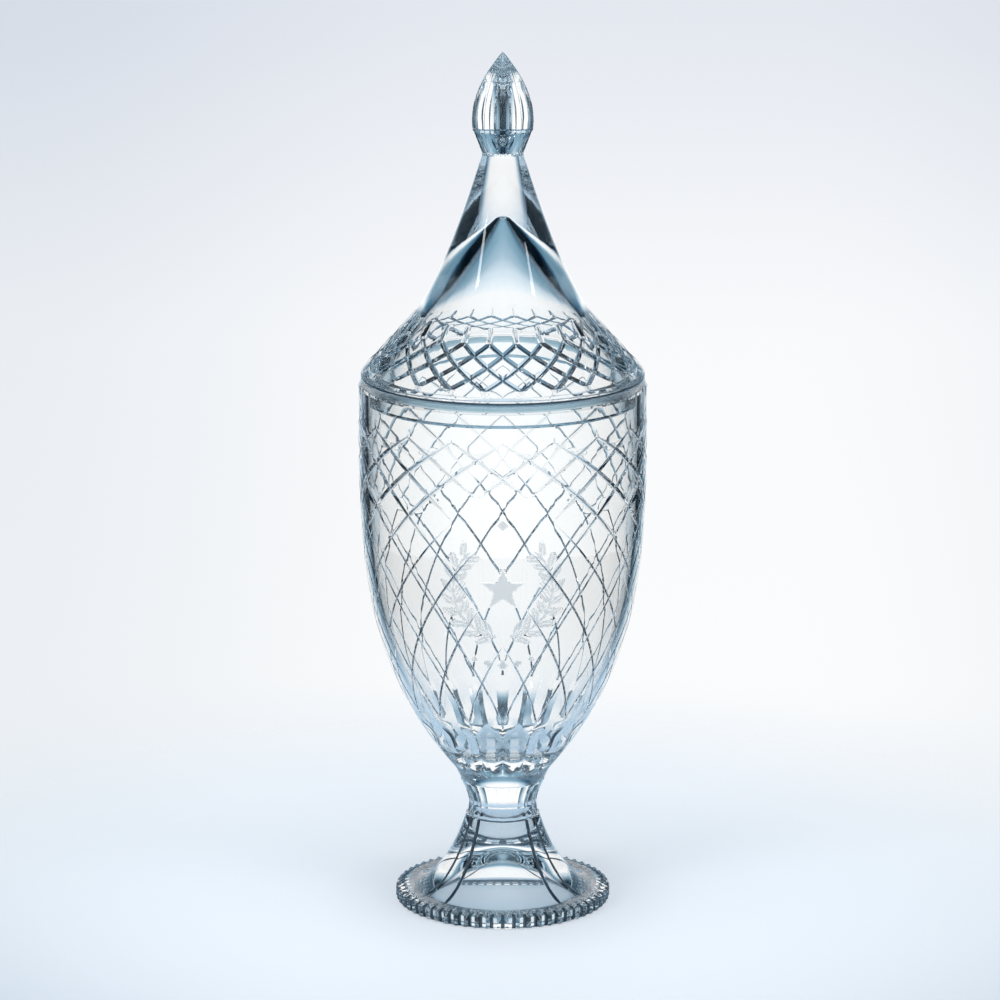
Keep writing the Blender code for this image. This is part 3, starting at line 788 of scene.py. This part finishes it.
studio = dict(
    glassRoom=((-1.0, "#B9CDDD"), (-0.75, "#C9D9E6"), (-0.6, "#FFFFFF"), (-0.1, "#FFFFFF"),
               (0.2, "#7FA0B3"), (0.66, "#7FA0B3"), (0.8, "#A9BFCE"), (1.0, "#B5C9D6")),
    # The room the eye sees is brightest behind the urn and darker towards the top, the bottom and, by
    # eyeShade, both sides: painted falloff of the light
    eyeRoom=((-1.0, "#C0CDD8"), (-0.36, "#C3D1DC"), (-0.335, "#CDD9E3"), (-0.316, "#E4EBF1"),
             (-0.297, "#F5F8FA"), (-0.277, "#FBFCFD"), (-0.20, "#F9FAFC"), (-0.135, "#E4E8F0"),
             (0.2, "#DCE2EA"), (1.0, "#D6DDE6")),  # both rooms by height of the look, -1 straight down
    eyeCentre=0.03, eyeReach=(0.03, 0.14), eyeShade="#F0F3F6",
    wallRadius=0.65, wallHeight=0.64, wallFoot=0.001, wallSteps=96, wallLight=1.1,
    wall=((0.0, "#FFFFFF"), (0.325, "#FFFFFF"), (0.345, "#F2FAFF"), (0.365, "#E6F1F9"),
          (0.39, "#D3E3EF"), (0.417, "#A2BECE"), (0.45, "#80A5BA"), (0.54, "#6A90A4"),
          (0.62, "#7FA0B3")),  # by height in metres
    sides=((0, "#FFFFFF"), (16, "#FFFFFF"), (22, "#CBDCE7"), (28, "#84A3B6"), (34, "#3A5262"),
           (40, "#0E1922"), (95, "#0B151D"), (122, "#7E95A5"), (150, "#C4D3DD"),
           (180, "#CFDBE4")),  # by degrees from the back
    steepShift=12, upShift=-7,  # degrees that the white part gains for steep looks down and up
    downLooks=(-0.3, -0.6), upLooks=(0.3, 0.5), plainLooks=(-0.85, -0.7),
    # The floor glows evenly pale; floorShade dims its glow near the urn's axis: a painted contact shadow
    floorColour="#E3E7EC", floorGlow=0.72, floorShade=(0.05, 0.09, 0.62), floorInner=0.10, floorOuter=0.42,
    # Painted shade: the floor as glass sees it, darker and bluer than the eye sees it, with a dark painted
    # shadow ring under the foot's ring
    floorInGlassPaintedShade=((0.0, "#DCE8F2"), (0.034, "#C8DAE8"), (0.038, "#43596A"), (0.052, "#43596A"),
                  (0.06, "#B4CADB")),  # by metres from the urn's axis
    floorDrop=0.0003, floorSteps=128,
)

lamps = (
    dict(name="overhead_softbox", place=(0, -0.3, 1.8), aim=(0, 0, 0.2), size=(0.9, 0.9), watts=6,
         inGlass=False),
    dict(name="left_strip", place=(-1.2, -1.0, 0.7), aim=(0, 0, 0.25), size=(0.16, 1.2), watts=5,
         inGlass=True),
    dict(name="right_strip", place=(1.3, -0.8, 0.7), aim=(0, 0, 0.25), size=(0.12, 1.2), watts=3,
         inGlass=True),
)

camera = dict(away=2.1317, height=0.7165, aside=-0.0013, pitch=13.7, lens=166.75, sensor=36)


def colourRamp(tree, source, stops):
    ramp = addNode(tree, "ShaderNodeValToRGB", Fac=source)
    elements = ramp.color_ramp.elements
    while len(elements) < len(stops):
        elements.new(0.5)
    for element, (place, colour) in zip(elements, stops):
        element.position = place
        element.color = linear(colour)
    return ramp.outputs["Color"]


# White behind the urn, dark at both sides and pale again towards the front; shift widens the white part
def sideColour(tree, x, y, shift):
    turn = addNode(tree, "ShaderNodeMath", dict(operation="ARCTAN2"), _0=x, _1=y)
    away = addNode(tree, "ShaderNodeMath", dict(operation="ABSOLUTE"), _0=turn.outputs[0])
    less = addNode(tree, "ShaderNodeMath", dict(operation="SUBTRACT"), _0=away.outputs[0], _1=shift)
    share = addNode(tree, "ShaderNodeMath", dict(operation="DIVIDE"), _0=less.outputs[0], _1=math.pi)
    return colourRamp(tree, share.outputs[0], [(angle / 180, colour) for angle, colour in studio["sides"]])


def multiplyColour(tree, amount, first, second):
    both = addNode(tree, "ShaderNodeMix", dict(data_type="RGBA", blend_type="MULTIPLY"), _0=amount,
                   _6=first, _7=second)
    return both.outputs[2]


def makeWorld():
    world = bpy.data.worlds.new("pale_studio")
    world.use_nodes = True
    tree = world.node_tree
    tree.nodes.clear()
    way = addNode(tree, "ShaderNodeTexCoord").outputs["Generated"]
    split = addNode(tree, "ShaderNodeSeparateXYZ", Vector=way)
    level = addNode(tree, "ShaderNodeMapRange", Value=split.outputs["Z"], From_Min=-1.0, From_Max=1.0)
    glassRoom, eyeRoom = (
        colourRamp(tree, level.outputs[0], [((z + 1) / 2, colour) for z, colour in studio[name]])
        for name in ("glassRoom", "eyeRoom"))
    down = addNode(tree, "ShaderNodeMapRange", Value=split.outputs["Z"], From_Min=studio["downLooks"][0],
                   From_Max=studio["downLooks"][1], To_Min=0.0, To_Max=math.radians(studio["steepShift"]))
    up = addNode(tree, "ShaderNodeMapRange", Value=split.outputs["Z"], From_Min=studio["upLooks"][0],
                 From_Max=studio["upLooks"][1], To_Min=0.0, To_Max=math.radians(studio["upShift"]))
    shift = addNode(tree, "ShaderNodeMath", dict(operation="ADD"), _0=down.outputs[0], _1=up.outputs[0])
    steep = addNode(tree, "ShaderNodeMapRange", Value=split.outputs["Z"], From_Min=studio["plainLooks"][0],
                    From_Max=studio["plainLooks"][1])
    sides = sideColour(tree, split.outputs["X"], split.outputs["Y"], shift.outputs[0])
    glassRoom = multiplyColour(tree, steep.outputs[0], glassRoom, sides)
    # Painted shade: the room the eye sees darkens towards both sides
    off = addNode(tree, "ShaderNodeMath", dict(operation="SUBTRACT"), _0=split.outputs["X"],
                  _1=studio["eyeCentre"])
    away = addNode(tree, "ShaderNodeMath", dict(operation="ABSOLUTE"), _0=off.outputs[0])
    shade = addNode(tree, "ShaderNodeMapRange", dict(interpolation_type="SMOOTHSTEP"),
                    Value=away.outputs[0], From_Min=studio["eyeReach"][0], From_Max=studio["eyeReach"][1])
    eyeRoom = multiplyColour(tree, shade.outputs[0], eyeRoom, linear(studio["eyeShade"]))
    path = addNode(tree, "ShaderNodeLightPath")
    seen = addNode(tree, "ShaderNodeMix", dict(data_type="RGBA"), _0=path.outputs["Is Camera Ray"],
                   _6=glassRoom, _7=eyeRoom)
    glow = addNode(tree, "ShaderNodeBackground", Color=seen.outputs[2], Strength=1.0)
    addNode(tree, "ShaderNodeOutputWorld", Surface=glow.outputs["Background"])
    scene.world = world


def makeWall():
    made, tree = newMaterial("studio_wall_lit_paper")
    place = addNode(tree, "ShaderNodeTexCoord").outputs["Object"]
    split = addNode(tree, "ShaderNodeSeparateXYZ", Vector=place)
    height = studio["wallHeight"]
    level = addNode(tree, "ShaderNodeMapRange", Value=split.outputs["Z"], From_Min=0.0, From_Max=height)
    paper = colourRamp(tree, level.outputs[0], [(z / height, colour) for z, colour in studio["wall"]])
    path = addNode(tree, "ShaderNodeLightPath")
    glass = addNode(tree, "ShaderNodeMath", dict(operation="MAXIMUM"), _0=path.outputs["Is Glossy Ray"],
                    _1=path.outputs["Is Transmission Ray"])
    behind = addNode(tree, "ShaderNodeNewGeometry").outputs["Backfacing"]
    seen = addNode(tree, "ShaderNodeMath", dict(operation="SUBTRACT", use_clamp=True),
                   _0=glass.outputs[0], _1=behind)
    sides = sideColour(tree, split.outputs["X"], split.outputs["Y"], 0.0)
    glow = addNode(tree, "ShaderNodeEmission", Color=multiplyColour(tree, 1.0, paper, sides),
                   Strength=studio["wallLight"])
    clear = addNode(tree, "ShaderNodeBsdfTransparent")
    mixed = addNode(tree, "ShaderNodeMixShader", _0=seen.outputs[0], _1=clear.outputs[0],
                    _2=glow.outputs[0])
    addNode(tree, "ShaderNodeOutputMaterial", Surface=mixed.outputs[0])
    bm = bmesh.new()
    radius = studio["wallRadius"]
    spinProfile(bm, [(radius, height), (radius, studio["wallFoot"])], studio["wallSteps"], front)
    outward = [f for f in bm.faces if f.normal.dot(f.calc_center_median() * Vector((1, 1, 0))) > 0]
    bmesh.ops.reverse_faces(bm, faces=outward)
    mesh = bpy.data.meshes.new("studio_wall")
    bm.to_mesh(mesh)
    bm.free()
    mesh.materials.append(made)
    wall = bpy.data.objects.new("studio_wall", mesh)
    scene.collection.objects.link(wall)


def makeFloor():
    made, tree = newMaterial("studio_floor_paper_painted_shadows")
    place = addNode(tree, "ShaderNodeTexCoord").outputs["Object"]
    far = addNode(tree, "ShaderNodeVectorMath", dict(operation="LENGTH"), _0=place)
    outer = studio["floorOuter"]
    near, past, dim = studio["floorShade"]
    fade = addNode(tree, "ShaderNodeMapRange", dict(interpolation_type="SMOOTHSTEP"),
                   Value=far.outputs["Value"], From_Min=studio["floorInner"], From_Max=outer, To_Min=1.0,
                   To_Max=0.0)
    reach = addNode(tree, "ShaderNodeMath", dict(operation="DIVIDE"), _0=far.outputs["Value"], _1=outer)
    # Painted shade for glass rays: a darker, bluer floor with a dark shadow ring under the foot's ring
    inGlass = colourRamp(tree, reach.outputs[0], [(r / outer, c) for r, c in studio["floorInGlassPaintedShade"]])
    # Painted contact shadow: the glow dims near the urn's axis
    glow = addNode(tree, "ShaderNodeMapRange", Value=far.outputs["Value"], From_Min=near, From_Max=past,
                   To_Min=dim, To_Max=studio["floorGlow"])
    path = addNode(tree, "ShaderNodeLightPath")
    colour = addNode(tree, "ShaderNodeMix", dict(data_type="RGBA"), _0=path.outputs["Is Camera Ray"],
                     _6=inGlass, _7=linear(studio["floorColour"]))
    shader = addNode(tree, "ShaderNodeBsdfPrincipled", Base_Color=colour.outputs[2], Roughness=0.9,
                     Emission_Color=colour.outputs[2], Emission_Strength=glow.outputs[0],
                     Alpha=fade.outputs[0])
    addNode(tree, "ShaderNodeOutputMaterial", Surface=shader.outputs["BSDF"])
    bm = bmesh.new()
    bmesh.ops.create_circle(bm, cap_ends=True, segments=studio["floorSteps"], radius=outer)
    airFilm = (0, 0, -studio["floorDrop"])  # under the foot's ring
    bmesh.ops.translate(bm, verts=bm.verts, vec=airFilm)
    mesh = bpy.data.meshes.new("studio_floor")
    bm.to_mesh(mesh)
    bm.free()
    mesh.materials.append(made)
    floor = bpy.data.objects.new("studio_floor", mesh)
    scene.collection.objects.link(floor)


def softbox(lamp):
    light = bpy.data.lights.new(lamp["name"], "AREA")
    light.shape = "RECTANGLE"
    light.size, light.size_y = lamp["size"]
    light.energy = lamp["watts"]
    made = bpy.data.objects.new(lamp["name"], light)
    made.visible_glossy = lamp["inGlass"]
    made.visible_transmission = lamp["inGlass"]
    made.location = lamp["place"]
    look = Vector(lamp["aim"]) - Vector(lamp["place"])
    made.rotation_euler = look.to_track_quat("-Z", "Y").to_euler()
    scene.collection.objects.link(made)


def makeCamera():
    lens = bpy.data.cameras.new("photo_camera")
    lens.lens = camera["lens"]
    lens.sensor_width = camera["sensor"]
    viewer = bpy.data.objects.new("photo_camera", lens)
    viewer.location = (camera["aside"], -camera["away"], camera["height"])
    viewer.rotation_euler = (math.radians(90 - camera["pitch"]), 0, 0)
    scene.collection.objects.link(viewer)
    scene.camera = viewer


makeWorld()
makeWall()
makeFloor()
for lamp in lamps:
    softbox(lamp)
makeCamera()
print("studio set")
